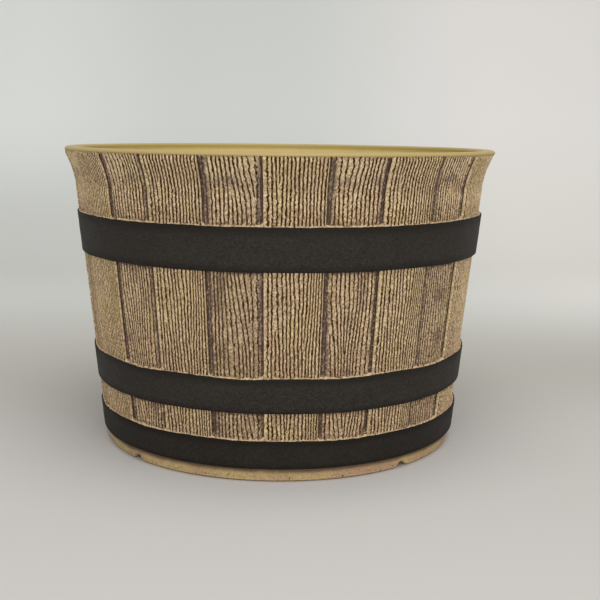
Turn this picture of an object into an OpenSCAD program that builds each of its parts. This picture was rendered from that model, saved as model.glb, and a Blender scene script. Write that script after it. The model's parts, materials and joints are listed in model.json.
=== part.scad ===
// Half-barrel planter in stoneware: a glazed lining pot faced with leaning staves that stand
// alternately proud and sunk, three flat hoops seated in the staves, and a notched foot ring.
// The origin is at the centre of the footprint on the ground, +Z is up, and the middle of
// stave_01 faces -Y. Staves are numbered towards +X.

/* [Overall] */
// Height from the ground to the crest of the rim
height = 273; // [240:1:340]
// Outer diameter across the rim
rim_d = 400; // [392:1:440]
// Outer diameter of the wall where the flare under the rim starts
neck_d = 382; // [350:1:390]
// Outer diameter of the wall at the ground
base_d = 333; // [300:1:360]
// Height of the flare, from the neck up to the upright band
flare_h = 28; // [16:1:45]
// Height of the upright band between the flare and the lip
rim_band_h = 3; // [1:0.5:6]
// Height of the lip over the staves, and the radius on its two edges
lip_edge_r = 3; // [2:0.5:4]

/* [Wall] */
// Thickness of the glazed lining
lining_t = 6; // [4:0.5:9]
// Thickness of a proud stave
stave_t = 6; // [4:0.5:9]
// Number of staves, an even number so that proud and sunk ones alternate
stave_count = 24; // [20:2:28]
// Depth by which every second stave is sunk
stave_step = 1.5; // [0.5:0.1:2.5]
// Width of the open seam between two staves
seam_w = 0.4; // [0.2:0.1:1]

/* [Hoops] */
// Thickness of the hoops, from the bottom of their seat
hoop_t = 3; // [2.6:0.1:5]
// Radius on the outer edges of the hoops
hoop_edge_r = 1; // [0.4:0.1:1.3]
// Height of the upper hoop
upper_hoop_h = 36; // [20:1:60]
// Drop from the underside of the rim's lip to the upper hoop
upper_hoop_drop = 55.5; // [51.5:0.5:84]
// Height of the middle hoop
middle_hoop_h = 29; // [15:1:45]
// Rise from the foot ring to the middle hoop
middle_hoop_rise = 48.5; // [40:0.5:90]
// Height of the lower hoop, which starts at the foot ring
lower_hoop_h = 24; // [12:1:35]

/* [Floor and foot] */
// Thickness of the floor
floor_t = 12; // [8:0.5:18]
// Diameter of the drain hole
drain_d = 25; // [12:1:50]
// Height of the foot ring
foot_h = 12; // [8:0.5:20]
// Width of the foot ring
foot_w = 17; // [14:0.5:30]
// Radius on the lower outer edge of the foot ring
foot_edge_r = 2.5; // [0.5:0.5:5]
// Number of drain notches in the foot ring
notch_count = 4; // [2:1:6]
// Width of a drain notch at the ground
notch_w = 16; // [10:1:24]
// Height of a drain notch
notch_h = 5; // [3:0.5:7]

/* [Hidden] */
$fn = 96;
edge_steps = 5;       // chords in a rounded edge
flare_steps = 8;      // bands in the flare
over = 1;             // how far a cutter runs past what it cuts

wall_t = lining_t + stave_t;
lip_z = height - lip_edge_r;
neck_z = lip_z - rim_band_h - flare_h;
lean = (neck_d - base_d) / 2 / neck_z;
flare_bend = (rim_d / 2 - neck_d / 2 - lean * flare_h) / pow(flare_h, 2);

stave_pitch = 360 / stave_count;
seam_angle = seam_w / (rim_d / 2) * 180 / PI;

lower_hoop_z = foot_h;
middle_hoop_z = foot_h + middle_hoop_rise;
upper_hoop_z = lip_z - upper_hoop_drop - upper_hoop_h;

floor_z = foot_h + floor_t;
foot_inner_r = base_d / 2 - foot_w;
notch_r = (pow(notch_w / 2, 2) + pow(notch_h, 2)) / (2 * notch_h);
notch_seam = 2.5;     // the first notch lies under the seam this many staves round from the front

proud_colour = [0.76, 0.64, 0.45];
sunk_colour = [0.63, 0.51, 0.40];
lining_colour = [0.68, 0.60, 0.33];
foot_colour = [0.73, 0.61, 0.40];
hoop_colour = [0.19, 0.17, 0.16];

// Radius of the wall's outer face at height z: a straight lean, a parabola out to the rim, and then
// the upright band.
function wall_r(z) =
    let (s = min(z, neck_z + flare_h))
        base_d / 2 + lean * s + flare_bend * pow(max(s - neck_z, 0), 2);

// Heights at which a section from z0 to z1 needs a point: its two ends and the flare between them.
function levels(z0, z1) = [
    z0,
    for (i = [0 : flare_steps]) let (z = neck_z + flare_h * i / flare_steps)
        if (z > z0 + 0.01 && z < z1 - 0.01) z,
    z1
];

// A line that follows the wall from z0 to z1, set in by the given depth, upwards or downwards.
function wall_line_up(z0, z1, depth) = [for (z = levels(z0, z1)) [wall_r(z) - depth, z]];
function wall_line_down(z0, z1, depth) =
    let (line = wall_line_up(z0, z1, depth)) [for (i = [len(line) - 1 : -1 : 0]) line[i]];

// Points on an arc about [r, z], from angle a0 to angle a1.
function arc(r, z, arc_r, a0, a1, steps = edge_steps) = [
    for (i = [0 : steps]) let (a = a0 + (a1 - a0) * i / steps)
        [r + arc_r * cos(a), z + arc_r * sin(a)]
];

function stave_name(i) = str("stave_", i < 10 ? "0" : "", i);
function is_proud(i) = i % 2 == 1;

// Upright section of the wall between two depths below the proud staves' face.
module wall_section(z0, z1, outer_depth, inner_depth) {
    polygon(concat(wall_line_up(z0, z1, outer_depth), wall_line_down(z0, z1, inner_depth)));
}

// Section of a hoop: a flat band on its seat, with its two outer edges rounded.
module hoop_section(z0, h) {
    z1 = z0 + h;
    lower_r = wall_r(z0) - stave_step + hoop_t - hoop_edge_r;
    upper_r = wall_r(z1) - stave_step + hoop_t - hoop_edge_r;
    face_depth = stave_step - hoop_t;
    face = [
        for (p = wall_line_up(z0, z1, face_depth))
            if (p[1] > z0 + hoop_edge_r && p[1] < z1 - hoop_edge_r) p
    ];
    polygon(concat(
        arc(lower_r, z0 + hoop_edge_r, hoop_edge_r, -90, 0),
        face,
        arc(upper_r, z1 - hoop_edge_r, hoop_edge_r, 0, 90),
        wall_line_down(z0, z1, stave_step)
    ));
}

module all_hoop_sections() {
    hoop_section(upper_hoop_z, upper_hoop_h);
    hoop_section(middle_hoop_z, middle_hoop_h);
    hoop_section(lower_hoop_z, lower_hoop_h);
}

// The glazed pot inside: its wall and the rounded lip that caps the staves.
module lining_pot() {
    color(lining_colour) rotate_extrude() {
        wall_section(foot_h, lip_z, stave_t, wall_t);
        polygon(concat(
            arc(rim_d / 2 - lip_edge_r, lip_z, lip_edge_r, 0, 90),
            arc(rim_d / 2 - wall_t + lip_edge_r, lip_z, lip_edge_r, 90, 180)
        ));
    }
}

// The floor, wedged in the lining's taper and resting on the foot ring, with its drain hole.
module floor_slab() {
    color(lining_colour) rotate_extrude() polygon(concat(
        [[drain_d / 2, foot_h]],
        wall_line_up(foot_h, floor_z, wall_t),
        [[drain_d / 2, floor_z]]
    ));
}

// The foot ring, with low arched notches that let water out from under the floor.
module foot_ring() {
    color(foot_colour) difference() {
        rotate_extrude() polygon(concat(
            [[foot_inner_r, 0]],
            arc(wall_r(foot_edge_r) - foot_edge_r, foot_edge_r, foot_edge_r, -90, 0),
            [[wall_r(foot_h), foot_h], [foot_inner_r, foot_h]]
        ));
        for (i = [0 : notch_count - 1])
            rotate([0, 0, notch_seam * stave_pitch + i * 360 / notch_count])
            translate([0, over - foot_inner_r, notch_h - notch_r])
            rotate([90, 0, 0]) cylinder(r = notch_r, h = foot_w + 3 * over);
    }
}

// One stave: a slab of the wall, one pitch wide less the seam, with the hoops' seats cut in it.
module stave(i) {
    depth = is_proud(i) ? 0 : stave_step;
    width_angle = stave_pitch - seam_angle;
    color(is_proud(i) ? proud_colour : sunk_colour)
    rotate([0, 0, -90 + (i - 1) * stave_pitch - width_angle / 2])
    rotate_extrude(angle = width_angle) difference() {
        wall_section(foot_h, lip_z, depth, stave_t);
        all_hoop_sections();
    }
}

module hoop(z, h) {
    color(hoop_colour) rotate_extrude() hoop_section(z, h);
}

lining_pot();
floor_slab();
foot_ring();
hoop(upper_hoop_z, upper_hoop_h);  // upper_hoop
hoop(middle_hoop_z, middle_hoop_h);  // middle_hoop
hoop(lower_hoop_z, lower_hoop_h);  // lower_hoop
for (i = [1 : stave_count]) stave(i);
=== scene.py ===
"""Half-barrel planter in stoneware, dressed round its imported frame.

The pot is a glazed lining faced with 24 combed staves, every second one sunk, three dark hoops, a
floor and a bare clay foot. Each visible piece is a surface worked out as whole arrays and stands
for the frame's node of the same place. Lengths are in metres unless a name or comment says
millimetres. Azimuths run from -Y, the front, towards +X.
"""

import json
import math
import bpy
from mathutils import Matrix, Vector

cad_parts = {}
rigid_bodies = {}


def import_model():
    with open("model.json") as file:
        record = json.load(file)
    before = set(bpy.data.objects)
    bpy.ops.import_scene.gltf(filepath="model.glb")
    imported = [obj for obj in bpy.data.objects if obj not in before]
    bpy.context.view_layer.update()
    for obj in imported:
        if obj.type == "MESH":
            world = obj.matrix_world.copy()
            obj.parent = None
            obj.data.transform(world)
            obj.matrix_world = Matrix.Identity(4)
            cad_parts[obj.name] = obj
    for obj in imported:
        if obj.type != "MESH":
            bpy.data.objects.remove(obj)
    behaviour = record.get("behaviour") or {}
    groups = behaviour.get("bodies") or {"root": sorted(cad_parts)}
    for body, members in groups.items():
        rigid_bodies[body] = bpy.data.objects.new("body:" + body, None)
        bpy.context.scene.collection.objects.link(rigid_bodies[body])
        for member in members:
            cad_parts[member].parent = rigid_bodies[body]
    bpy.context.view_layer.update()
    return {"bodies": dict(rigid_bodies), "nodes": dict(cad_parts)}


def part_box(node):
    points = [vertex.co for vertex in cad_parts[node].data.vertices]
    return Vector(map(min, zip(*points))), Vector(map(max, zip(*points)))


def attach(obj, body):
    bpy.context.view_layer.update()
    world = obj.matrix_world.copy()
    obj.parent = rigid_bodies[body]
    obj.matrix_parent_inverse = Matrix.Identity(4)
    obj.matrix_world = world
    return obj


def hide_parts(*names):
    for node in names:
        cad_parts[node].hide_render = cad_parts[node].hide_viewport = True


bl_info = {
    "name": "Stoneware Half-Barrel Planter",
    "version": (1, 0, 0),
    "blender": (4, 5, 0),
    "location": "View3D > Sidebar > Planter",
    "description": "Dresses a half-barrel planter with combed staves, hoops, glaze and clay",
    "category": "Add Mesh",
}

import bpy
import numpy as np
from bpy.props import FloatProperty, FloatVectorProperty, PointerProperty
from mathutils import Matrix, Vector

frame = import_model()
BODY = next(iter(frame["bodies"]))

MM = 0.001
FULL_TURN = 2 * math.pi

# Levels and radii from the frame's boxes
LIP_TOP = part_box("lining_pot")[1].z
RIM_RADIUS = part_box("lining_pot")[1].x
FOOT_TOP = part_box("foot_ring")[1].z
FOOT_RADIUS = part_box("foot_ring")[1].x
FLOOR_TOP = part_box("floor_slab")[1].z
STAVE_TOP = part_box("stave_01")[1].z
# Each hoop's seed, the mean rise of its slip over the clay, and how much higher the slip runs on
# the proud staves, both in millimetres
HOOP_SLIPS = {
    "lower_hoop": (300, 0.4, 0.3), "middle_hoop": (310, 0.8, 0.6), "upper_hoop": (320, 0.4, 0.1),
}
HOOP_SPANS = {name: (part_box(name)[0].z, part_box(name)[1].z) for name in HOOP_SLIPS}
STAVE_COUNT = sum(name.startswith("stave_") for name in frame["nodes"])
# Measures of the solids that no box gives, and what follows from both
WALL = 12 * MM
STAVE_DEPTH = 6 * MM
NECK_RADIUS = 191 * MM
FLARE_HEIGHT = 28 * MM
RIM_BAND = 3 * MM
LIP_EDGE = LIP_TOP - STAVE_TOP
NECK_Z = STAVE_TOP - RIM_BAND - FLARE_HEIGHT
LEAN = (NECK_RADIUS - FOOT_RADIUS) / (NECK_Z - FOOT_TOP)
FLARE_BEND = (RIM_RADIUS - NECK_RADIUS - LEAN * FLARE_HEIGHT) / FLARE_HEIGHT ** 2
NOISE_CELLS = 256


def paint(red, green, blue):
    """A colour written as 0 to 255 per channel, turned into the linear values that shaders take."""
    channels = np.array((red, green, blue)) / 255
    linear = np.where(channels <= 0.04045, channels / 12.92, ((channels + 0.055) / 1.055) ** 2.4)
    return tuple(linear.tolist())


def wall_radius(z):
    """Radius of the proud staves' face at height z: a straight lean, a parabola out to the rim, and
    an upright band."""
    flared = FOOT_RADIUS + LEAN * (z - FOOT_TOP) + FLARE_BEND * np.maximum(z - NECK_Z, 0) ** 2
    return np.minimum(flared, RIM_RADIUS)


def around(radius, azimuth, z):
    """Points at a radius and azimuth: x is radius times sine, y is minus radius times cosine."""
    radius, azimuth, z = np.broadcast_arrays(radius, azimuth, z)
    return np.stack((radius * np.sin(azimuth), -radius * np.cos(azimuth), z), axis=-1)


def ring(columns):
    """The azimuths of a ring's columns as one row, and the same as shares of a full turn."""
    azimuth = np.linspace(0, FULL_TURN, columns, endpoint=False)[None, :]
    return azimuth, azimuth / FULL_TURN


def rounded(centre_r, centre_z, edge, start, end, steps):
    """Radius and z of an edge rounded about a centre, from start to end degrees."""
    angles = np.radians(np.linspace(start, end, steps + 1))
    return centre_r + edge * np.cos(angles), centre_z + edge * np.sin(angles)


def profile(*runs):
    """Joins runs of (radius, z, and so on) into one upright column for each of these. Within a run,
    a plain number goes with every value of the others."""
    runs = [np.broadcast_arrays(*map(np.atleast_1d, run)) for run in runs]
    return [np.concatenate(parts)[:, None] for parts in zip(*runs)]


def smooth(low, high, value):
    """0 on low's side, 1 on high's side, and the cubic step 3t^2 - 2t^3 between them."""
    t = np.clip((value - low) / (high - low), 0, 1)
    return t * t * (3 - 2 * t)


def bell(value, centre, spread):
    """1 at the centre, falling off on both sides as exp(-t^2), with t counted in spreads."""
    return np.exp(-(((value - centre) / spread) ** 2))


def highest(*values):
    """The largest of several arrays at each point."""
    return np.maximum.reduce(np.broadcast_arrays(*values))


def noise(x, y, seed, period=NOISE_CELLS):
    """Random numbers from -1 to 1 at whole x and y, blended between them with a cubic step.
    x repeats after period cells, so that a pattern closes round a ring."""
    table = np.random.default_rng(seed).uniform(-1, 1, (NOISE_CELLS, NOISE_CELLS))
    x, y = np.broadcast_arrays(x, y)
    column = np.floor(x).astype(int)
    row = np.floor(y).astype(int)
    s = smooth(0, 1, x - column)
    t = smooth(0, 1, y - row)
    low, high = (
        table[column % period, line % NOISE_CELLS] * (1 - s)
        + table[(column + 1) % period, line % NOISE_CELLS] * s
        for line in (row, row + 1)
    )
    return low * (1 - t) + high * t


def grid_mesh(name, points, marks, kind="ring"):
    """A mesh over a grid of points (row, column, 3). In a ring, rows and columns close on
    themselves. In a stack, only the columns do, and its first and last row are capped with one face
    each. In a sheet, nothing closes.

    Each cell is one face, wound so that column direction x row direction points outwards. marks
    maps an attribute's name to its value at each point."""
    rows, columns = points.shape[:2]
    index = np.arange(rows * columns).reshape(rows, columns)
    walk = np.vstack((index, index[:1])) if kind == "ring" else index
    walk = walk if kind == "sheet" else np.hstack((walk, walk[:, :1]))
    corners = (walk[:-1, :-1], walk[:-1, 1:], walk[1:, 1:], walk[1:, :-1])
    corners = np.stack(corners, axis=-1).reshape(-1)
    starts = np.arange(0, corners.size, 4)
    cell_count = starts.size
    if kind == "stack":
        starts = np.append(starts, (corners.size, corners.size + columns))
        corners = np.hstack((corners, index[0][::-1], index[-1]))
    mesh = bpy.data.meshes.new(name)
    mesh.vertices.add(rows * columns)
    mesh.vertices.foreach_set("co", points.astype(np.float32).reshape(-1))
    mesh.loops.add(corners.size)
    mesh.loops.foreach_set("vertex_index", corners.astype(np.int32))
    mesh.polygons.add(starts.size)
    mesh.polygons.foreach_set("loop_start", starts.astype(np.int32))
    mesh.update(calc_edges=True)
    mesh.polygons.foreach_set("use_smooth", np.arange(starts.size) < cell_count)
    for mark, values in marks.items():
        attribute = mesh.attributes.new(mark, "FLOAT", "POINT")
        values = np.broadcast_to(values, (rows, columns)).astype(np.float32)
        attribute.data.foreach_set("value", values.reshape(-1))
    mesh.validate()
    return mesh


def put(data):
    """A new object in the scene for a mesh, a lamp or a camera, with its name."""
    thing = bpy.data.objects.new(data.name, data)
    bpy.context.scene.collection.objects.link(thing)
    return thing


def place_piece(mesh, material, node):
    """Puts a finished mesh in the scene as the piece that stands for a node of the frame."""
    mesh.materials.append(material)
    piece = put(mesh)
    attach(piece, BODY)
    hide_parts(node)


class Finish:
    """A node material built up step by step. A step returns the socket that carries its result."""

    def __init__(self, name, specular):
        self.material = bpy.data.materials.new(name)
        self.material.use_nodes = True
        self.tree = self.material.node_tree
        self.shader = self.tree.nodes["Principled BSDF"]
        self.shader.inputs["Specular IOR Level"].default_value = specular
        self.place = self.tree.nodes.new("ShaderNodeTexCoord").outputs["Object"]

    def feed(self, socket, value):
        """Links a socket to another, or sets it to a number, a vector or a colour."""
        if isinstance(value, bpy.types.NodeSocket):
            self.tree.links.new(value, socket)
        elif socket.type == "RGBA":
            socket.default_value = (*value, 1)
        else:
            socket.default_value = value

    def node(self, kind, inputs):
        """A new node of that kind, with its inputs fed by name."""
        node = self.tree.nodes.new("ShaderNode" + kind)
        for name, value in inputs.items():
            self.feed(node.inputs[name], value)
        return node

    def mark(self, name):
        """The piece's own attribute of that name."""
        node = self.node("Attribute", {})
        node.attribute_name = name
        return node.outputs["Fac"]

    def position(self, squash=1.0):
        """Object coordinates, with z scaled."""
        inputs = {"Vector": self.place, "Scale": (1, 1, squash)}
        return self.node("Mapping", inputs).outputs["Vector"]

    def axes(self):
        """The three object coordinates."""
        return self.node("SeparateXYZ", {"Vector": self.position()}).outputs

    def noise(self, size, squash=1.0, detail=2.0, swirl=0.0):
        """Cloudy noise about 0.5, with features of a size in millimetres."""
        inputs = {"Scale": 1 / (size * MM), "Detail": detail, "Distortion": swirl}
        node = self.node("TexNoise", {**inputs, "Vector": self.position(squash)})
        return node.outputs["Fac"]

    def grains(self, size, squash=1.0):
        """A random number from 0 to 1 for each small cell of a size in millimetres."""
        node = self.node("TexVoronoi", {"Scale": 1 / (size * MM), "Vector": self.position(squash)})
        return self.node("SeparateColor", {"Color": node.outputs["Color"]}).outputs["Red"]

    def maths(self, operation, first, second, third=0.0, clamp=False):
        """One sum on numbers."""
        node = self.node("Math", {})
        node.operation = operation
        node.use_clamp = clamp
        for socket, value in zip(node.inputs, (first, second, third)):
            self.feed(socket, value)
        return node.outputs["Value"]

    def add(self, value, other, share, centre=0.0):
        """value plus a share of another, which is counted from its centre."""
        if centre:
            other = self.maths("SUBTRACT", other, centre)
        return self.maths("MULTIPLY_ADD", other, share, value)

    def span(self, value, low, high, start=0.0, end=1.0):
        """start on low's side, end on high's side, and a smooth step between them."""
        names = ("Value", "From Min", "From Max", "To Min", "To Max")
        node = self.node("MapRange", dict(zip(names, (value, low, high, start, end))))
        node.interpolation_type = "SMOOTHSTEP"
        return node.outputs["Result"]

    def mix(self, share, first, second, blend="MIX"):
        """The first colour, with a share of the second blended in."""
        node = self.node("Mix", {"Factor": share})
        node.data_type = "RGBA"
        node.blend_type = blend
        inputs = [socket for socket in node.inputs if socket.type == "RGBA"]
        for socket, colour in zip(inputs, (first, second)):
            self.feed(socket, colour)
        return next(socket for socket in node.outputs if socket.type == "RGBA")

    def ramp(self, value, stops):
        """A colour read along a list of (position, colour) stops."""
        node = self.node("ValToRGB", {"Fac": value})
        elements = node.color_ramp.elements
        while len(elements) < len(stops):
            elements.new(0.5)
        for element, (position, colour) in zip(elements, stops):
            element.position = position
            element.color = (*colour, 1)
        return node.outputs["Color"]

    def done(self, colour, roughness, relief=None, depth=0.0, strength=1.0):
        """The finished material. The relief is a height, counted in depths of some millimetres."""
        self.feed(self.shader.inputs["Base Color"], colour)
        self.feed(self.shader.inputs["Roughness"], roughness)
        if relief is not None:
            inputs = {"Distance": depth * MM, "Strength": strength, "Height": relief}
            self.feed(self.shader.inputs["Normal"], self.node("Bump", inputs).outputs["Normal"])
        return self.material


# --- Settings ---


def length(label, text, millimetres):
    """A length setting, given in millimetres and kept in metres."""
    return FloatProperty(
        name=label, description=text, default=millimetres * MM, min=0, subtype="DISTANCE",
        unit="LENGTH", precision=5,
    )


def angle(label, text, degrees):
    """An angle setting, given in degrees."""
    return FloatProperty(
        name=label, description=text, default=math.radians(degrees), subtype="ANGLE",
        unit="ROTATION",
    )


def tone(label, text, *channels):
    """A colour setting, given as 0 to 255 per channel."""
    return FloatVectorProperty(
        name=label, description=text, default=paint(*channels), size=3, min=0, max=1,
        subtype="COLOR",
    )


class PlanterStaves(bpy.types.PropertyGroup):
    """Sizes and colours of the staves' combed faces."""

    seam: length("Seam", "Open width between two staves", 0.15)
    sink: length("Sink", "Depth of the sunk staves below the proud ones", 1.5)
    proud_edge: length("Proud edge", "Rounding on the long edges of a proud stave", 0.8)
    sunk_edge: length("Sunk edge", "Rounding on the long edges of a sunk stave", 0.3)
    groove_width: length("Groove width", "Usual width of a combed groove", 1.3)
    groove_depth: length("Groove depth", "Depth of a combed groove", 0.85)
    bead_swell: length("Bead swell", "How far the clay bead stands out over a hoop", 0.3)
    row_step: length("Row step", "Distance between two rows of the mesh", 1.0)
    column_step: length("Column step", "Distance between two columns of the mesh", 0.44)
    # The cream also paints the highlight on the ridges' shoulders and the painted light of the
    # stave's mark.
    cream: tone("Ridge cream", "Bright grains and shoulders of the ridges", 234, 211, 175)
    straw: tone("Ridge straw", "Yellow patches of the ridges", 185, 161, 110)
    blush: tone("Ridge blush", "Pinkish patches of the ridges", 177, 148, 116)
    flank: tone("Ridge flank", "Thin stain on the flanks of the ridges", 109, 81, 39)
    shade: tone("Ridge shade", "Dark grains of the ridges", 101, 74, 34)
    groove: tone("Groove", "Stain that lies in the grooves", 51, 27, 0)
    groove_light: tone("Groove, thin", "Stain where it lies thinly", 68, 42, 5)
    # These mauve tones also lay painted shade under the hoops, at the bend and beside the proud
    # staves.
    wash_and_shade: tone("Wash", "Mauve-brown wash over the ridges", 158, 151, 170)
    wash_and_shade_grey: tone("Wash, grey", "Greyer patches of the wash", 156, 152, 160)
    wash_and_shade_hollow: tone("Wash in grooves", "The wash where it lies in the grooves", 82, 67, 58)
    bead: tone("Bead", "Bare clay bead along the hoops", 218, 194, 152)


class PlanterHoops(bpy.types.PropertyGroup):
    """Sizes and colours of the hoops."""

    stand: length("Stand", "How far a hoop stands out from the proud staves", 1.5)
    seat: length("Seat", "Depth of a hoop's seat in the proud staves", 1.5)
    edge: length("Edge", "Rounding on the outer edges", 1.0)
    wander: length("Wander", "How far the painted edges wander up and down", 0.45)
    ripple: length("Ripple", "Height of the leathery ripples", 0.12)
    black: tone("Black", "Main colour", 28, 24, 20)
    worn: tone("Worn", "Lighter ripples", 56, 51, 45)
    edge_black: tone("Edge black", "Slip along the edges of the hoops", 17, 12, 5)


class PlanterPot(bpy.types.PropertyGroup):
    """Sizes and colours of the glazed lining, the floor and the foot."""

    lip_wave: length("Lip wave", "How far the lip dips by hand", 0.25)
    cove: length("Cove", "Rounding where the floor meets the wall", 9)
    drain: length("Drain", "Radius of the drain hole", 12.5)
    drain_edge: length("Drain edge", "Rounding on the drain hole", 2)
    foot_inner: length("Foot bore", "Inner radius of the foot ring", 149.5)
    foot_edge: length("Foot edge", "Rounding on the lower outer edge of the foot", 2.5)
    foot_taper: length("Foot taper", "How far the foot's outside draws in from its top down", 2.4)
    notch_width: length("Notch width", "Width of a drain notch at the ground", 16)
    notch_height: length("Notch height", "Height of a drain notch", 5)
    crest: tone("Crest", "Glaze on the crest of the lip", 172, 151, 102)
    front_lip: tone("Front lip", "Glaze on the outside of the lip", 171, 149, 96)
    # Also laid as painted shade in a band just inside the lip, besides darker streaks and clouds of
    # the glaze.
    pool: tone("Pool", "Glaze just inside the lip", 166, 145, 78)
    mustard: tone("Mustard", "Glaze on the inside", 188, 166, 100)
    clay: tone("Clay", "Bare clay of the foot", 211, 184, 131)
    clay_pink: tone("Clay, pink", "Pinkish patches of the foot", 203, 168, 130)
    # This brown also darkens the foot's grains, pinholes and base, and lays painted shade under the
    # lower hoop.
    stain: tone("Stain", "Brown stain under the lower hoop", 84, 66, 50)


class PlanterStudio(bpy.types.PropertyGroup):
    """The camera, the lamps and the sweep behind the planter."""

    lens: FloatProperty(name="Lens", description="Focal length, in millimetres", default=61.164)
    pitch: angle("Pitch", "How far the camera looks down", 9.64)
    roll: angle("Roll", "Turn of the camera about its own axis", 0.675)
    floor: tone("Floor", "Colour of the floor", 195, 192, 188)
    # The bend's darker tone is painted shade; the lighter backdrop tones below it paint light.
    bend: tone("Bend", "Colour where the floor turns up", 180, 177, 170)
    backdrop: tone("Backdrop", "Colour of the backdrop", 207, 208, 203)
    backdrop_top: tone("Backdrop, top", "Colour of its upper part", 215, 218, 214)
    backdrop_left: tone("Backdrop, left", "Colour of its top left", 228, 230, 227)
    backdrop_right: tone("Backdrop, right", "Colour of its right side", 229, 226, 220)
    backdrop_corner: tone("Backdrop, corner", "Colour of its top right", 235, 232, 229)


SETTINGS = {
    "planter_staves": PlanterStaves,
    "planter_hoops": PlanterHoops,
    "planter_pot": PlanterPot,
    "planter_studio": PlanterStudio,
}

# --- Staves ---

# Heights and other lengths of the stave patterns are in millimetres
HALF_STAVE = 24.0  # nominal half width of a pattern
# Where each pattern's grooves stand across a stave, from -1 at its left edge to 1 at its right one,
# at the height PATTERN_Z. The proud staves come from one mould, and the sunk ones from two.
GROOVES = {
    "proud": (
        -0.84, -0.72, -0.56, -0.41, -0.28, -0.16, -0.03, 0.13, 0.27, 0.41, 0.53, 0.63, 0.73, 0.83,
        0.93,
    ),
    "sunk_a": (-0.84, -0.7, -0.58, -0.46, -0.33, -0.19, -0.04, 0.12, 0.28, 0.44, 0.62, 0.8),
    "sunk_b": (-0.86, -0.72, -0.55, -0.4, -0.25, -0.09, 0.07, 0.22, 0.35, 0.47, 0.61, 0.76, 0.9),
}
PATTERN_Z = 150
PATTERN_END = 1.06  # a little past the stave's edge, where the next groove is still to come
END_SHARE = 0.62  # share of the way to that groove there
BLUR = (-0.045, -0.015, 0.015, 0.045)  # shifts across the stave that are averaged
# Forks in the grooves: place across the stave, height, and 1 where one groove splits in two on its
# way down, or -1 where two become one
FORKS = {
    "proud": ((-0.62, 132, 1), (0.36, 120, -1), (-0.5, 248, -1), (-0.2, 48, -1)),
    "sunk_a": ((0.55, 136, -1), (0.23, 120, 1), (0.74, 238, -1), (0.0, 240, 1), (0.65, 46, -1)),
    "sunk_b": ((-0.68, 128, 1), (-0.12, 114, -1), (-0.72, 239, 1), (0.0, 45, -1)),
}
FORK_LENGTH = 4.5  # how many times longer than wide a fork's bend is
# Where the grooves lean: place across the stave, spread about it, how far they move to the right
# for each millimetre down, the height where they stand at the list's places, and how far under and
# over it they lean
LEANS = {
    "proud": ((0.5, 0.3, -0.03, 150, -45, 25),),
    "sunk_a": (
        (0.2, 0.45, 0.1, 150, -34, 25), (0.4, 0.4, 0.12, 240, -5, 22),
        (0.4, 0.3, 0.14, 48, -12, 12),
    ),
    "sunk_b": (
        (-0.5, 0.35, 0.09, 150, -40, 4), (0.25, 0.35, -0.06, 150, -40, 4),
        (0.05, 0.45, -0.1, 240, -5, 22), (-0.3, 0.25, 0.12, 48, -12, 12),
        (0.3, 0.25, -0.14, 48, -12, 12),
    ),
}
# For the leans at each height: where they set in and where they end, both hidden by the hoops
LEAN_SPANS = {48: (10, 20, 62, 72), 150: (76, 88, 182, 196), 240: (200, 212, 300, 310)}
# Values of the groove's mark: on plain clay, and the least that a ridge gets
PLAIN_CLAY = -1.2
RIDGE_MARK = -1.6
FAR = 99.0  # further off than any hoop
SEAT_DEPTH = 1.55  # least depth of a face behind a hoop
# A stave's hidden faces: columns on each side and on the back, and what its marks are there
SIDE_COLUMNS = 3
BACK_COLUMNS = 4
HIDDEN_MARKS = {"groove": 1.0, "wash_and_shade": 0.3, "bead": 0.0, "glaze": -3.0, "painted_light": 0.0}


def slip_rise(name, azimuth, look):
    """How far a hoop's slip runs up over the clay, in millimetres: a mean rise, a cosine that is
    highest over the proud staves, and three sizes of noise round the ring."""
    seed, mean, swing = HOOP_SLIPS[name]
    turn = azimuth / FULL_TURN % 1
    rough = (
        0.8 * noise(turn * 24, 0.5, seed + 2, 24)
        + 0.6 * noise(turn * 110, 0.5, seed + 3, 110)
        + 0.6 * noise(turn * 400, 0.5, seed + 6, 200)
    )
    return mean + swing * np.cos(STAVE_COUNT / 2 * azimuth) + look.wander / MM * rough


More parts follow.
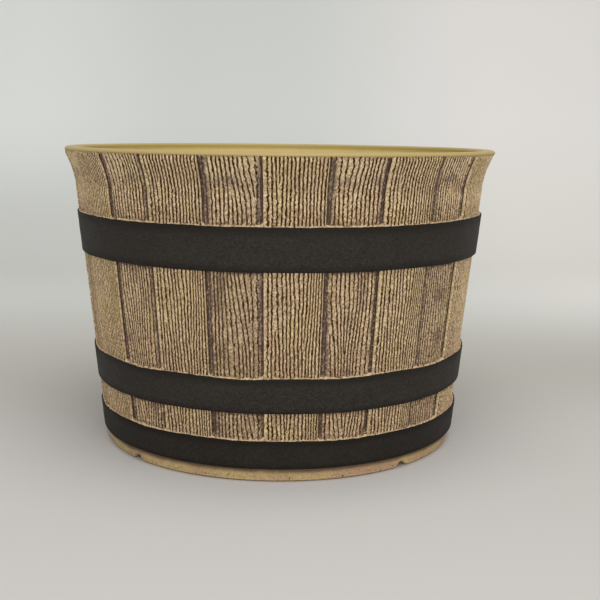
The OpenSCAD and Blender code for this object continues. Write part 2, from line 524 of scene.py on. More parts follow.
def groove_marks(u, z, pattern, usual_width):
    """How far each point lies inside the nearest groove's edge, in millimetres.

    A phase rises by one from each groove of the list to the next. It is read a little to one side
    where the grooves lean, by slope times height times a bell across the stave, and its steps are
    evened out above the upper hoop. A fork adds its sign times atan2(height above it, distance
    beside it) / 2 pi and a slant, less what that makes at the two edges beyond a whole number. So
    one groove starts or ends there, and the grooves at the list's own height stay as they are. Four
    sizes of noise make them wander and jitter. The pitch is one over the phase's slope across the
    stave. The distance is a cosine of the phase, less its value at the groove's edge, over its
    slope there."""
    x = u * HALF_STAVE
    seed = sum(map(ord, pattern))
    places = np.array(GROOVES[pattern])
    count = places.size
    numbers = np.hstack((-END_SHARE, np.arange(count), count - 1 + END_SHARE))
    leant = u + 0 * z
    for place, spread, slope, level, under, over in LEANS[pattern]:
        a, b, c, d = LEAN_SPANS[level]
        moved = slope * np.clip(z - level, under, over) * smooth(a, b, z) * (1 - smooth(c, d, z))
        leant = leant + moved / HALF_STAVE * bell(u, place, spread)

    def groove_number(places):
        """The number of the groove at each point, blurred a little across the stave."""
        ends = np.hstack((-PATTERN_END, places, PATTERN_END))
        return np.mean([np.interp(leant + shift, ends, numbers) for shift in BLUR], axis=0)

    upper = smooth(190, 202, z) * 0.65
    even_places = np.linspace(places[0], places[-1], count)
    phase = groove_number(places) * (1 - upper) + groove_number(even_places) * upper
    from_right = (1 - u) / 2
    for fork_u, fork_z, sign in FORKS[pattern]:
        rise = (z - fork_z) / FORK_LENGTH
        home = 0.5 if fork_z > PATTERN_Z else -0.5
        turn = np.arctan2(rise, x - fork_u * HALF_STAVE) / FULL_TURN + home * from_right
        at_left = np.where(rise >= 0, 0.5, -0.5) + home
        turn = turn - from_right * (turn[:, :1] - at_left) - (1 - from_right) * turn[:, -1:]
        phase = phase + sign * turn
    inward = smooth(0.5, 8, HALF_STAVE - np.abs(x))
    phase = phase + 0.2 * inward * noise(x / 17, z / 38, seed + 1)
    phase = phase + 0.08 * inward * noise(x / 6, z / 9, seed + 2)
    narrowest, widest = 2.0, 9.0
    slope = np.abs(np.gradient(phase, x[0], axis=1))
    pitch = 1 / np.clip(slope, 1 / widest, 1 / narrowest)
    phase = phase + 0.06 * noise(x / 2.8, z / 3.6, seed + 3)
    phase = phase + 0.14 * noise(x / 2.0, z / 1.1, seed + 6)
    swell = 0.1 * noise(phase * 1.3, z / 22, seed + 4)
    swell = 1 + swell + 0.05 * noise(phase * 2, z / 3.0, seed + 5)
    width = np.minimum(usual_width * swell, pitch * 0.42)
    edge = math.pi * width / pitch
    return (np.cos(FULL_TURN * phase) - np.cos(edge)) * pitch / (FULL_TURN * np.sin(edge))


def stave_rows(step):
    """Heights of a stave's rows, and which of them lie in a hoop's seat. Rows stand close together
    where the stave shows and a little way under the hoops, and far apart in the seats."""
    cover = 1.2 * MM
    tiny = 0.1 * MM
    low_hoop, mid_hoop, top_hoop = HOOP_SPANS.values()
    shown = (
        (low_hoop[1] - cover, mid_hoop[0] + cover),
        (mid_hoop[1] - cover, top_hoop[0] + cover),
        (top_hoop[1] - cover, STAVE_TOP),
    )
    rows = [FOOT_TOP, (FOOT_TOP + low_hoop[1]) / 2]
    in_seat = [True, True]
    for start, end in shown:
        close = np.linspace(start, end, int(round((end - start) / step)) + 1)
        if end == STAVE_TOP:
            close = np.hstack((close[:-5], np.linspace(close[-5], end, 9)))
        rows += [start - tiny, *close, end + tiny]
        in_seat += [True, *[False] * close.size, True]
    # Nothing follows the rows under the lip
    return np.array(rows[:-1]), np.array(in_seat[:-1])


def stave_columns(step, edge):
    """Places across a stave's face from -1 to 1, closer together on the rounded edges. Step and
    edge are in millimetres."""
    edge = max(edge, 0.6)
    crowd = np.array((0, 0.1, 0.28, 0.52, 0.8)) * edge
    inner = HALF_STAVE - edge * 1.1
    middle = np.linspace(-inner, inner, int(round(2 * inner / step)) + 1)
    places = np.hstack((-HALF_STAVE + crowd, middle, (HALF_STAVE - crowd)[::-1]))
    return places / HALF_STAVE


def hoop_distances(azimuth, z, slip):
    """How far each point stands above the slip of the hoop below it, and under the hoop above."""
    above = below = np.full_like(z, FAR)
    for hoop, (low, high) in HOOP_SPANS.items():
        over = z - high / MM - slip_rise(hoop, azimuth, slip)
        under = low / MM - z
        above = np.where(over > -2, np.minimum(above, over), above)
        below = np.where(under > -2, np.minimum(below, under), below)
    return above, below


def stave_wash_and_shade(number, pattern, x, z, above, below, wobble):
    """How strong the wash is, which also carries painted shade, and how much painted light makes
    the ridges brighter. The mauve wash lies in clouds and in bands along a sunk stave's edges,
    where it is also painted shade beside the proud neighbours. Painted shade lies just under each
    hoop and in a ripple at the bend, and a little darkening lies just above each hoop."""
    seed = 100 + number
    shade_under_hoop = 1 - smooth(0.2, 3.6 + 1.6 * wobble, below)
    over_hoop = 1 - smooth(0.5, 6.0 + 3.0 * wobble, above)
    clouds = smooth(0.1, 0.9, noise(x / 11 + 13 * number, z / 19, 14))
    shade_at_bend = bell(z, 251, 5.0) * smooth(-1.2, 0.8, noise(x / 9, z / 6, seed + 60))
    on_flare = smooth(244, 254, z)
    # Painted light: the ridges are brighter in a band about 234 mm up and on the flare, a proud
    # stave's also along its edges and just under each hoop, and they are a little darker for some
    # way above each hoop.
    painted_light = 0.14 * bell(z, 234, 7) - 0.08 * (1 - smooth(4, 40, above))
    if pattern == "proud":
        at_edge = 1 - smooth(0.8, 3.4, HALF_STAVE - np.abs(x))
        painted_light = painted_light + np.where(x < 0, 0.13, 0.07) * at_edge + 0.2 * (1 - smooth(0.0, 1.8, below))
        wash_and_shade = highest(0.2 * shade_under_hoop, 0.2 * over_hoop, 0.3 * shade_at_bend, 0.25 * clouds)
        return wash_and_shade, painted_light + 0.03 * on_flare
    # Bands along a sunk stave's edges: the mauve wash, and painted shade where the proud neighbours
    # stand over them.
    spread = 1.6 * noise(x / 4, z / 6, seed + 70)
    left_reach = 9.0 + 2.5 * noise(z / 21, number * 3.7, 12)
    right_reach = 7.4 + 2.2 * noise(z / 17, number * 2.9, 13)
    left = 1 - smooth(2.5, left_reach, x + HALF_STAVE + spread)
    right = 1 - smooth(1.5, right_reach, HALF_STAVE - x + spread)
    haze = (0.3 if pattern == "sunk_a" else 0.12) * smooth(236, 206, z) + 0.34 * clouds
    wash_and_shade = highest(left, right, 0.9 * shade_under_hoop, 0.6 * over_hoop, 0.62 * shade_at_bend, haze)
    return wash_and_shade, painted_light + 0.16 * on_flare


def stave_mesh(name, number, look, slip):
    """One stave as closed sections piled up in z: its face, right side, back and left side.

    The face lies below the wall's curve by: the sink of a sunk stave, fading out under the lip;
    the grooves, as a smooth step of the distance inside their edges; and a quarter round on the
    long edges. Over each hoop it swells outwards into the clay bead."""
    proud = number % 2 == 1
    pattern = "proud" if proud else ("sunk_b" if number % 4 == 2 else "sunk_a")
    edge = (look.proud_edge if proud else look.sunk_edge) / MM
    rows, in_seat = stave_rows(look.row_step)
    z = rows[:, None] / MM
    u = stave_columns(look.column_step / MM, edge)[None, :]
    x = u * HALF_STAVE
    from_edge = HALF_STAVE - np.abs(x)
    under_lip = STAVE_TOP / MM - z
    middle = (number - 1) * FULL_TURN / STAVE_COUNT
    half_angle = FULL_TURN / STAVE_COUNT / 2 - look.seam / 2 / RIM_RADIUS
    seed = 100 + number

    inside = groove_marks(u, z, pattern, look.groove_width / MM)
    inside = np.maximum(inside + 0.06 * noise(x / 0.9, z / 1.2, seed), RIDGE_MARK)
    if proud:
        rim = smooth(0.3, 0.9, from_edge)
        inside = inside * rim + PLAIN_CLAY * (1 - rim)
    else:
        corner_line = np.where(x < 0, 1.8, 1.9) + 0.5 * noise(z / 5, number * 5.3, 21)
        corner_line = corner_line + 0.6 * noise(z / 24, number * 3.1 + np.sign(x), 22)
        inside = np.maximum(inside, corner_line - from_edge)
    comb = smooth(-0.65, 0.5, inside)
    lip_drop = 0.8 + 0.9 * noise(x / 1.8, 0.5, seed + 80) + 0.5 * noise(x / 7, 0.5, seed)
    lip_drop = lip_drop - 1.1 * smooth(-0.3, 0.2, inside)
    comb_fade = smooth(-0.2, 0.5, under_lip - lip_drop)
    undercut = 0.45 * smooth(0, 0.8, under_lip) * (1 - smooth(1.5, 6, under_lip))
    sink = 0 if proud else look.sink / MM * smooth(0, 3.0, under_lip)
    crown = 0.05 * noise(x / 4, z / 11, seed + 40) + 0.06
    depth = sink + undercut + (look.groove_depth / MM * comb + crown) * comb_fade
    depth = depth + 0.25 * bell(z, NECK_Z / MM + 3, 2.2) * comb_fade
    inside = inside * comb_fade + PLAIN_CLAY * (1 - comb_fade)

    above, below = hoop_distances(middle + u * half_angle, z, slip)
    wobble = noise(x / 4.3 + 40 * number, 0, 7)
    crumble = noise(x / 1.2 + 90 * number, 0, 8)
    bead_height = (0.7 if proud else 1.1) + 0.5 * wobble + 0.6 * crumble
    if not proud:
        bead_height = bead_height + (2.0 + 1.2 * wobble) * bell(from_edge, 0, 2.8)
    bead_height = np.maximum(bead_height, 0.2)
    bead = 1 - smooth(0.25 * bead_height, bead_height, above)
    swell = look.bead_swell / MM * bead * (1 - smooth(-0.6, 0.9, above) * 0.5)
    depth = depth * (1 - bead) - swell

    wash_and_shade, painted_light = stave_wash_and_shade(number, pattern, x, z, above, below, wobble)
    wash_and_shade = wash_and_shade * (1 - bead) * smooth(0, 1, under_lip - 0.5 * lip_drop)
    depth = np.where(in_seat[:, None], np.maximum(depth, SEAT_DEPTH), depth)
    corner = np.clip(1 - from_edge / edge, 0, 1)
    depth = depth + edge * (1 - np.sqrt(1 - corner ** 2))

    # Walk round the section: face, right side, back, left side
    back = STAVE_DEPTH / MM
    fall = np.linspace(0, 1, SIDE_COLUMNS + 1)[1:]
    right_side = depth[:, -1:] * (1 - fall) + back * fall
    left_side = (depth[:, :1] * (1 - fall) + back * fall)[:, ::-1]
    side = np.ones(SIDE_COLUMNS)
    across = np.hstack((u[0], side, np.linspace(1, -1, BACK_COLUMNS + 2)[1:-1], -side))
    depth = np.hstack((depth, right_side, np.full((rows.size, BACK_COLUMNS), back), left_side))
    radius = wall_radius(rows)[:, None] - depth * MM
    shown = {
        "groove": inside, "wash_and_shade": wash_and_shade, "bead": bead, "glaze": lip_drop - under_lip, "painted_light": painted_light,
    }
    hidden = ((0, 0), (0, across.size - u.size))
    marks = {
        mark: np.pad(values, hidden, constant_values=HIDDEN_MARKS[mark])
        for mark, values in shown.items()
    }
    marks["bead"][:, u.size:u.size + SIDE_COLUMNS] = bead[:, -1:]
    marks["bead"][:, -SIDE_COLUMNS:] = bead[:, :1]
    points = around(radius, middle + across * half_angle, rows[:, None])
    return grid_mesh(name, points, marks, kind="stack")


def stave_finish(name, look, pot, tint):
    """Combed and stained clay: dark grooves with ragged edges, grainy ridges with a painted
    highlight on their shoulders and painted light from the stave's mark, the mauve wash with its
    painted shade, the bare bead, and the lip's glaze where it runs over the top. tint shifts the
    ridges from straw, at 0, to blush, at 1."""
    finish = Finish(name, specular=0.05)
    inside = finish.mark("groove")
    painted_light = finish.mark("painted_light")
    grit = finish.noise(1.3, squash=0.9)
    grain = finish.grains(1.15, squash=0.85)
    sand = finish.grains(0.85)
    cloud = finish.noise(9, squash=0.35, detail=3)
    wide = finish.noise(28, squash=0.7)
    ragged = finish.add(finish.add(inside, grit, 0.7, centre=0.5), grain, 0.45, centre=0.5)
    stain = finish.span(ragged, -0.04, 0.08)
    stain = finish.maths("MAXIMUM", stain, finish.span(inside, 0.02, 0.14))
    flank = finish.span(ragged, -0.27, -0.12)
    # Painted highlight: the ridges' shoulders beside the grooves are made brighter, as if they
    # caught the light.
    shoulder_highlight = finish.span(ragged, -0.9, -0.3)
    patch = finish.add(finish.maths("MULTIPLY", cloud, 0.6), wide, 0.8)
    patch = finish.add(patch, painted_light, -0.7)
    shift = 0.14 * (0.5 - tint)
    ridge = finish.mix(finish.span(patch, 0.54 + shift, 0.76 + shift), look.straw, look.blush)
    # Grains and sand give the ridges' own speckle; the shoulders' painted highlight and the painted
    # light of the stave's mark are added to it.
    bright = finish.add(finish.maths("MULTIPLY", grain, 0.6), sand, 0.5)
    bright = finish.maths("ADD", painted_light, finish.add(bright, shoulder_highlight, 0.18))
    ridge = finish.mix(finish.span(bright, 0.44, 0.12, 0, 0.6), ridge, look.shade)
    ridge = finish.mix(finish.span(bright, 0.5, 0.92), ridge, look.cream)
    ridge = finish.mix(finish.maths("MULTIPLY", flank, 0.65), ridge, look.flank)
    hollow = finish.mix(finish.span(sand, 0.3, 1.0), look.groove, look.groove_light)
    # This mask also lays painted shade under the hoops, at the bend and beside the proud staves.
    wash_and_shade = finish.span(finish.add(finish.mark("wash_and_shade"), grit, 0.3), 0.15, 1.1)
    wash_and_shade_tone = finish.mix(finish.span(wide, 0.4, 0.6), look.wash_and_shade_grey, look.wash_and_shade)
    ridge = finish.mix(wash_and_shade, ridge, wash_and_shade_tone, "MULTIPLY")
    body = finish.mix(stain, ridge, finish.mix(wash_and_shade, hollow, look.wash_and_shade_hollow))
    bead = finish.span(finish.add(finish.mark("bead"), grain, 0.8), 0.6, 1.0)
    bead_tone = finish.mix(finish.span(sand, 0.1, 0.9), look.blush, look.bead)
    body = finish.mix(bead, body, bead_tone)
    glaze = finish.span(finish.add(finish.mark("glaze"), grit, 1.5, centre=0.5), -0.2, 0.3)
    return finish.done(
        finish.mix(glaze, body, pot.front_lip), finish.span(stain, 0, 1, 0.72, 0.85),
        finish.maths("ADD", grit, finish.maths("MULTIPLY", grain, 0.3)), 0.3, 0.35,
    )


class PLANTER_OT_staves(bpy.types.Operator):
    """Make the staves, first those that stand proud and then those that lie a step deeper"""

    bl_idname = "planter.staves"
    bl_label = "Staves"

    def execute(self, context):
        scene = context.scene
        look = scene.planter_staves
        for kind, first, tint in (("proud", 1, 0.35), ("sunk", 2, 0.75)):
            material = stave_finish(f"combed_clay_{kind}", look, scene.planter_pot, tint)
            for number in range(first, STAVE_COUNT + 1, 2):
                name = f"{kind}_stave_{number:02d}"
                mesh = stave_mesh(name, number, look, scene.planter_hoops)
                place_piece(mesh, material, f"stave_{number:02d}")
        return {"FINISHED"}


# --- Hoops ---

HOOP_COLUMNS = 1440


def hoop_mesh(name, look):
    """A hoop as a closed section carried round the wall.

    The section is a flat band on its seat with two rounded outer edges. Outside the wall its top
    follows the slip's rise and its bottom wanders by two sizes of noise round the ring. Its face
    has leathery ripples."""
    bottom, top = HOOP_SPANS[name]
    seed = HOOP_SLIPS[name][0]
    tall = (top - bottom) / MM
    edge = look.edge / MM
    stand = look.stand / MM
    seat = -look.seat / MM
    face_z = np.linspace(edge, tall - edge, int(tall / 1.4) + 2)[1:-1]
    leathery = np.sin(np.pi * (face_z - edge) / (tall - 2 * edge)) ** 0.3
    out, up, on_face = profile(
        (*rounded(stand - edge, edge, edge, -90, 0, 4), 0),
        (stand, face_z, leathery),
        (*rounded(stand - edge, tall - edge, edge, 0, 90, 4), 0),
        ((0, seat), tall, 0),
        (seat, np.linspace(tall, 0, 5)[1:-1], 0),
        ((seat, 0), 0, 0),
    )
    azimuth, turn = ring(HOOP_COLUMNS)
    low_edge = look.wander / MM * (
        0.7 * noise(turn * 24, 0.5, seed, 24) + 0.45 * noise(turn * 90, 0.5, seed + 1, 90)
    )
    high_edge = slip_rise(name, azimuth, look) * smooth(seat, 0.2, out)
    share = up / tall
    leather = noise(turn * 150, up / 6.5, seed + 4, 150)
    leather = leather + 0.5 * noise(turn * 250, up / 2.8, seed + 5, 250)
    z = bottom + (up + low_edge * (1 - share) + high_edge * share) * MM
    radius = wall_radius(z) + (out + on_face * (leather - 0.6) * look.ripple / MM) * MM
    return grid_mesh("slip_" + name, around(radius, azimuth, z), {"up": share})


def hoop_finish(name, look, specular, patch_strength):
    """Matt near-black slip over leathery clay, a little lighter in patches, and darkest along its
    two edges. The last argument is how strongly the lighter patches show."""
    finish = Finish(name, specular)
    leather = finish.noise(2.4, squash=1.8, detail=5, swirl=1.2)
    cloud = finish.noise(42, squash=1.6, detail=3)
    fine = finish.grains(0.9)
    body = finish.mix(finish.span(cloud, 0.38, 0.66, 0, 0.3 * patch_strength), look.black, look.worn)
    body = finish.mix(finish.span(leather, 0.4, 0.66, 0, 0.7 * patch_strength), body, look.worn)
    body = finish.mix(finish.span(fine, 0.4, 1.0, 0, 0.5 * patch_strength), body, look.worn)
    up = finish.add(finish.mark("up"), leather, 0.2, centre=0.5)
    edge = finish.maths("ADD", finish.span(up, 0.22, 0.0), finish.span(up, 0.72, 1.0), clamp=True)
    return finish.done(
        finish.mix(finish.maths("MULTIPLY", edge, 0.75), body, look.edge_black),
        finish.span(cloud, 0.3, 0.7, 0.62, 0.74), leather, 0.5, 0.8,
    )


class PLANTER_OT_hoops(bpy.types.Operator):
    """Make the three hoops"""

    bl_idname = "planter.hoops"
    bl_label = "Hoops"

    def execute(self, context):
        look = context.scene.planter_hoops
        upper = hoop_finish("hoop_slip", look, specular=0.24, patch_strength=1.0)
        # The lowest hoop takes a darker copy of the slip, with fainter lighter patches and less
        # gloss.
        lower = hoop_finish("lower_hoop_slip", look, specular=0.17, patch_strength=0.6)
        for node in HOOP_SPANS:
            finish = lower if node == "lower_hoop" else upper
            place_piece(hoop_mesh(node, look), finish, node)
        return {"FINISHED"}


# --- Lining, floor and foot ---

LINING_COLUMNS = 540
FLOOR_COLUMNS = 360
FOOT_COLUMNS = 1440


def lining_mesh(look):
    """The lining's profile carried round: up behind the staves, out under the lip, over the lip's
    outer quarter round, flat and inner quarter round, down the inside and back under. The lip dips
    a little by noise round the ring."""
    flat_out = RIM_RADIUS - LIP_EDGE
    flat_in = RIM_RADIUS - WALL + LIP_EDGE
    fine_end = STAVE_TOP - 40 * MM
    outer_z = np.linspace(FOOT_TOP, STAVE_TOP, 20)
    inner_z = np.linspace(STAVE_TOP, fine_end, 61)[1:]
    inner_z = np.hstack((inner_z, np.linspace(fine_end, FOOT_TOP, 50)[1:]))
    base = np.linspace(WALL, STAVE_DEPTH, 5)[1:-1]
    radius, z = profile(
        (wall_radius(outer_z) - STAVE_DEPTH, outer_z),
        (RIM_RADIUS - STAVE_DEPTH / 2, STAVE_TOP),
        rounded(flat_out, STAVE_TOP, LIP_EDGE, 0, 90, 12),
        (np.linspace(flat_out, flat_in, 8)[1:-1], LIP_TOP),
        rounded(flat_in, STAVE_TOP, LIP_EDGE, 90, 180, 12),
        (wall_radius(inner_z) - WALL, inner_z),
        (wall_radius(FOOT_TOP) - base, FOOT_TOP),
    )
    # The mark is the way over the lip and on down the inside, in millimetres from its outer edge
    steps = np.hypot(*np.diff((radius[:, 0], z[:, 0]))) / MM
    steps[:outer_z.size + 1] = 0
    steps[-base.size:] = 0
    way = np.append(0, np.cumsum(steps))[:, None]
    azimuth, turn = ring(LINING_COLUMNS)
    dip = look.lip_wave * (
        noise(turn * 18, 0.5, 401, 18) + 0.5 * noise(turn * 47, 0.5, 402, 47) - 1.5
    ) / 2
    near_lip = smooth(STAVE_TOP - 30 * MM, STAVE_TOP, z)
    radius = radius + dip * near_lip * smooth(8, 14, way)
    z = z + dip * smooth(STAVE_TOP, LIP_TOP, z)
    return grid_mesh("glazed_lining", around(radius, azimuth, z), {"way": way})


def glaze_finish(look):
    """Satin mustard glaze: thin and pale over the lip, with a darker band of painted shade just
    inside it, cloudy and finely crawled below."""
    finish = Finish("mustard_glaze", specular=0.34)
    cloud = finish.noise(22, squash=0.5, detail=3)
    streak = finish.noise(5, squash=0.25)
    fine = finish.noise(1.2)
    drift = finish.add(finish.mark("way"), cloud, 1.6, centre=0.5)
    # The darker band just inside the lip is painted shade under the lip's inner edge.
    body = finish.ramp(finish.maths("DIVIDE", drift, 30.0), (
        (0.0, look.front_lip), (0.3, look.front_lip), (0.38, look.crest), (0.42, look.crest),
        (0.46, look.pool), (0.51, look.pool), (0.56, look.mustard), (1.0, look.mustard),
    ))
    body = finish.mix(finish.span(streak, 0.4, 0.75, 0, 0.25), body, look.pool)
    body = finish.mix(finish.span(fine, 0.55, 0.75, 0, 0.2), body, look.front_lip)
    return finish.done(body, finish.span(cloud, 0.3, 0.7, 0.46, 0.58), fine, 0.25, 0.3)


class PLANTER_OT_lining(bpy.types.Operator):
    """Make the glazed lining and its lip"""

    bl_idname = "planter.lining"
    bl_label = "Lining"

    def execute(self, context):
        look = context.scene.planter_pot
        place_piece(lining_mesh(look), glaze_finish(look), "lining_pot")
        return {"FINISHED"}


def floor_mesh(look):
    """The floor's profile carried round: up its wedged edge, in along a cove and the floor's top,
    which dips a little towards the middle, round the drain hole's two edges and out along the
    underside."""
    edge = look.drain_edge
    bore = look.drain
    cove = look.cove
    dish = 1 * MM
    hole_r = bore + edge
    wall_z = np.linspace(FOOT_TOP, FLOOR_TOP + cove, 14)[:-1]
    centre_r = wall_radius(FLOOR_TOP + cove) - WALL - cove
    floor_r = np.linspace(centre_r, hole_r, 50)[1:-1]
    under_r = np.linspace(hole_r, wall_radius(FOOT_TOP) - WALL, 30)[1:-1]
    radius, z, bare = profile(
        (wall_radius(wall_z) - WALL, wall_z, 0),
        (*rounded(centre_r, FLOOR_TOP + cove, cove, 0, -90, 10), 0),
        (floor_r, FLOOR_TOP - dish * smooth(centre_r, bore, floor_r), 0),
        (*rounded(hole_r, FLOOR_TOP - dish - edge, edge, 90, 180, 5), 0),
        (*rounded(hole_r, FOOT_TOP + edge, edge, 180, 270, 5), 1),
        (under_r, FOOT_TOP, 1),
    )
    points = around(radius, ring(FLOOR_COLUMNS)[0], z)
    return grid_mesh("glazed_floor", points, {"bare": bare})


def floor_finish(look):
    """Mustard glaze on top, a little cloudy, and bare clay underneath."""
    finish = Finish("floor_glaze", specular=0.45)
    cloud = finish.noise(26, detail=3)
    fine = finish.noise(1.3)
    top = finish.mix(finish.span(cloud, 0.3, 0.7, 0, 0.35), look.mustard, look.pool)
    under = finish.mix(finish.span(cloud, 0.35, 0.65), look.clay, look.clay_pink)
    bare = finish.span(finish.add(finish.mark("bare"), fine, 0.3), 0.5, 0.8)
    roughness = finish.span(bare, 0, 1, 0.42, 0.85)
    return finish.done(finish.mix(bare, top, under), roughness, fine, 0.3, 0.4)


class PLANTER_OT_floor(bpy.types.Operator):
    """Make the floor with its drain hole"""

    bl_idname = "planter.floor"
    bl_label = "Floor"

    def execute(self, context):
        look = context.scene.planter_pot
        place_piece(floor_mesh(look), floor_finish(look), "floor_slab")
        return {"FINISHED"}


def foot_mesh(look):
    """The foot's profile carried round: up its rounded outside, which leans out by the taper times
    z over the foot's height, in along the top, down the bore and out along the ground. At each
    notch the lower points are lifted by an arch, a power of one plus a cosine, so that the section
    is squeezed between the arch and the top."""
    edge = look.foot_edge
    bore = look.foot_inner
    outer_z = np.linspace(edge, FOOT_TOP, 10)[1:]
    centre_r = wall_radius(edge) - edge - look.foot_taper * (1 - edge / FOOT_TOP)
    radius, z = profile(
        rounded(centre_r, edge, edge, -90, 0, 7),
        (wall_radius(outer_z) - look.foot_taper * (1 - outer_z / FOOT_TOP), outer_z),
        (np.linspace(wall_radius(FOOT_TOP), bore, 8)[1:], FOOT_TOP),
        (bore, np.linspace(FOOT_TOP, 0, 7)[1:]),
        (np.linspace(bore, centre_r, 9)[1:-1], 0),
    )
    azimuth, turn = ring(FOOT_COLUMNS)
    # Four notches, the first under the seam two and a half staves round from the front
    apart = FULL_TURN / 4
    offset = (azimuth - 2.5 * FULL_TURN / STAVE_COUNT + apart / 2) % apart - apart / 2
    beside = radius * np.sin(offset) / (look.notch_width / 2)
    arch = np.where(np.abs(beside) < 1, (0.5 + 0.5 * np.cos(math.pi * beside)) ** 0.8, 0)
    arch_z = look.notch_height * arch
    rough = 0.18 * MM * (
        noise(turn * 300, z / (2.5 * MM), 501, 150) + noise(turn * 120, z / (6 * MM), 502, 120)
    )
    on_outside = smooth(0.2 * MM, 2 * MM, z) * (radius > bore + 10 * MM)
    radius = radius + (rough - 0.36 * MM) * on_outside * smooth(FOOT_TOP, FOOT_TOP - MM, z)
    points = around(radius, azimuth, arch_z + z * (1 - arch_z / FOOT_TOP))
    return grid_mesh("clay_foot", points, {})


def foot_finish(look):
    """Bare biscuit clay with pinholes, with painted shade in brown just under the lower hoop, and
    darker where it meets the ground."""
    finish = Finish("bare_clay", specular=0.3)
    cloud = finish.noise(16, detail=3)
    wide = finish.noise(60)
    grain = finish.noise(1.6, squash=1.6, detail=3)
    sand = finish.grains(0.8)
    pits = finish.noise(2.1, detail=1)
    height = finish.axes()["Z"]
    patch = finish.add(finish.maths("MULTIPLY", wide, 0.7), cloud, 0.3)
    body = finish.mix(finish.span(patch, 0.42, 0.58), look.clay, look.clay_pink)
    body = finish.mix(finish.span(sand, 0.0, 1.0, 0.3, 0.0), body, look.stain)
    body = finish.mix(finish.span(grain, 0.5, 0.32, 0, 0.35), body, look.stain)
    # Painted shade: the foot's top turns brown under the lower hoop, where the hoop's overhang
    # shades it.
    drift = finish.add(height, cloud, 2.5 * MM, centre=0.5)
    drift = finish.add(drift, grain, 3 * MM, centre=0.5)
    shade_under_hoop = finish.span(drift, FOOT_TOP - 6.0 * MM, FOOT_TOP - 1.0 * MM, 0, 0.9)
    body = finish.mix(shade_under_hoop, body, look.stain)
    body = finish.mix(finish.span(height, 1.4 * MM, 0.3 * MM, 0, 0.85), body, look.stain)
    low = finish.span(height, 9 * MM, 3 * MM, -0.06, 0.015)
    hole = finish.span(finish.maths("ADD", pits, low), 0.68, 0.73)
    body = finish.mix(finish.maths("MULTIPLY", hole, 0.85), body, look.stain)
    relief = finish.maths("SUBTRACT", finish.maths("MULTIPLY", grain, 0.5), hole)
    return finish.done(body, 0.85, relief, 0.5, 0.6)


class PLANTER_OT_foot(bpy.types.Operator):
    """Make the notched foot ring"""

    bl_idname = "planter.foot"
    bl_label = "Foot"

    def execute(self, context):
        look = context.scene.planter_pot
        place_piece(foot_mesh(look), foot_finish(look), "foot_ring")
        return {"FINISHED"}


# --- Studio ---

CAMERA_PLACE = (-0.0594, -0.9757, 0.2921)
CAMERA_HEADING = (0.08107, 0.99671)  # along the ground, as x and y
AIR_STRENGTH = 0.55
# Lamps: name, place, target, side of the square and power in watts
LAMPS = (
    ("overhead", (0.14, -0.6, 2.2), (0, 0, 0.1), 1.8, 26),
    ("front", (0.14, -2.3, 1.1), (0, 0, 0.15), 2.0, 22),
)


def sweep_mesh():
    """A paper sweep: flat floor, a quarter round well behind the pot, then upright. It stands far
    enough back for a camera to go all the way round the pot."""
    reach = 4
    top = 3.2
    bend_r = 0.7
    bend_y = 1.15
    rise = np.radians(np.linspace(0, 90, 40))
    y, z = profile(
        (np.linspace(-reach, bend_y, 30)[:-1], 0),
        (bend_y + bend_r * np.sin(rise), bend_r * (1 - np.cos(rise))),
        (bend_y + bend_r, np.linspace(bend_r, top, 13)[1:]),
    )
    across = np.linspace(-reach, reach, 33)[None, :]
    points = np.stack(np.broadcast_arrays(across, y, z), axis=-1)
    return grid_mesh("paper_sweep", points, {}, kind="sheet")


def sweep_finish(look):
    """Pale paper with painted light and shade: painted shade deepens its tone towards its bend, it
    is lighter again up the backdrop, and painted light makes it lightest at its top left and along
    its right side."""
    finish = Finish("pale_paper", specular=0.2)
    across, along, up = finish.axes()
    near = finish.mix(finish.span(across, 0.05, 0.5, 0, 0.35), look.floor, look.bend)
    body = finish.mix(finish.span(along, -0.06, 0.2), near, look.bend)
    body = finish.mix(finish.span(along, 0.2, 0.85), body, look.backdrop)
    high = finish.span(up, 0.04, 0.335)
    body = finish.mix(high, body, look.backdrop_top)
    left = finish.maths("MULTIPLY", finish.span(across, -0.12, -0.57), high)
    body = finish.mix(left, body, look.backdrop_left)
    right = finish.maths("MULTIPLY", finish.span(across, 0.08, 0.7), finish.span(along, 0.24, 0.9))
    right_tone = finish.mix(high, look.backdrop_right, look.backdrop_corner)
    return finish.done(finish.mix(right, body, right_tone), 0.9)


def aimed(place, heading):
    """The matrix of a lamp or camera that stands at a place and looks along a heading."""
    return Matrix.Translation(place) @ heading.to_track_quat("-Z", "Y").to_matrix().to_4x4()


def area_lamp(name, place, target, size, power):
    """A square soft lamp at a place, turned to face a target."""
    lamp = bpy.data.lights.new(name, "AREA")
    lamp.shape = "SQUARE"
    lamp.size = size
    lamp.energy = power
    put(lamp).matrix_world = aimed(place, Vector(target) - Vector(place))


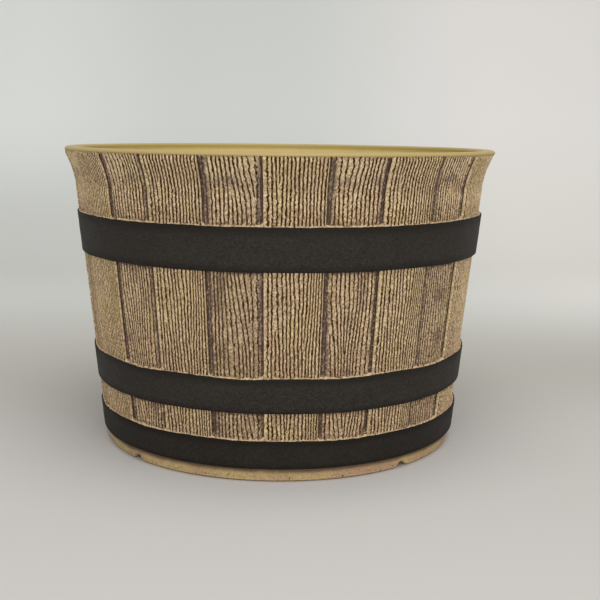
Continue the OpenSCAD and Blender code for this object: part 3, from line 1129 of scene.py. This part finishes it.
class PLANTER_OT_studio(bpy.types.Operator):
    """Set up the sweep, the lamps and the camera"""

    bl_idname = "planter.studio"
    bl_label = "Studio"

    def execute(self, context):
        scene = context.scene
        look = scene.planter_studio
        sweep = sweep_mesh()
        sweep.materials.append(sweep_finish(look))
        put(sweep)

        world = bpy.data.worlds.new("studio_air")
        scene.world = world
        world.use_nodes = True
        air = world.node_tree.nodes["Background"].inputs
        air["Color"].default_value = (1, 1, 1, 1)
        air["Strength"].default_value = AIR_STRENGTH
        for lamp in LAMPS:
            area_lamp(*lamp)

        camera = bpy.data.cameras.new("camera")
        camera.lens = look.lens
        camera.sensor_width = 36
        camera.clip_end = 50
        heading = Vector((*CAMERA_HEADING, 0)) * math.cos(look.pitch)
        heading.z = -math.sin(look.pitch)
        scene.camera = put(camera)
        turn = Matrix.Rotation(look.roll, 4, "Z")
        scene.camera.matrix_world = aimed(CAMERA_PLACE, heading) @ turn
        scene.view_settings.view_transform = "Standard"
        return {"FINISHED"}


OPERATORS = (
    PLANTER_OT_studio, PLANTER_OT_lining, PLANTER_OT_floor, PLANTER_OT_foot, PLANTER_OT_staves,
    PLANTER_OT_hoops,
)


class PLANTER_PT_sidebar(bpy.types.Panel):
    """Lists the planter's pieces and settings"""

    bl_idname = "PLANTER_PT_sidebar"
    bl_label = "Half-Barrel Planter"
    bl_space_type = "VIEW_3D"
    bl_region_type = "UI"
    bl_category = "Planter"

    def draw(self, context):
        for operator in OPERATORS:
            self.layout.operator(operator.bl_idname)
        for name, group in SETTINGS.items():
            box = self.layout.box()
            box.label(text=name.replace("_", " ").capitalize())
            for setting in group.__annotations__:
                box.prop(getattr(context.scene, name), setting)


def register():
    for group in (*SETTINGS.values(), *OPERATORS, PLANTER_PT_sidebar):
        bpy.utils.register_class(group)
    for name, group in SETTINGS.items():
        setattr(bpy.types.Scene, name, PointerProperty(type=group))


def unregister():
    for name in SETTINGS:
        delattr(bpy.types.Scene, name)
    for group in (PLANTER_PT_sidebar, *OPERATORS, *SETTINGS.values()):
        bpy.utils.unregister_class(group)


def main():
    """Registers the add-on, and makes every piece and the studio."""
    register()
    bpy.ops.planter.studio()
    bpy.ops.planter.lining()
    bpy.ops.planter.floor()
    bpy.ops.planter.foot()
    bpy.ops.planter.staves()
    bpy.ops.planter.hoops()
    bpy.context.view_layer.update()


if __name__ == "__main__":
    main()
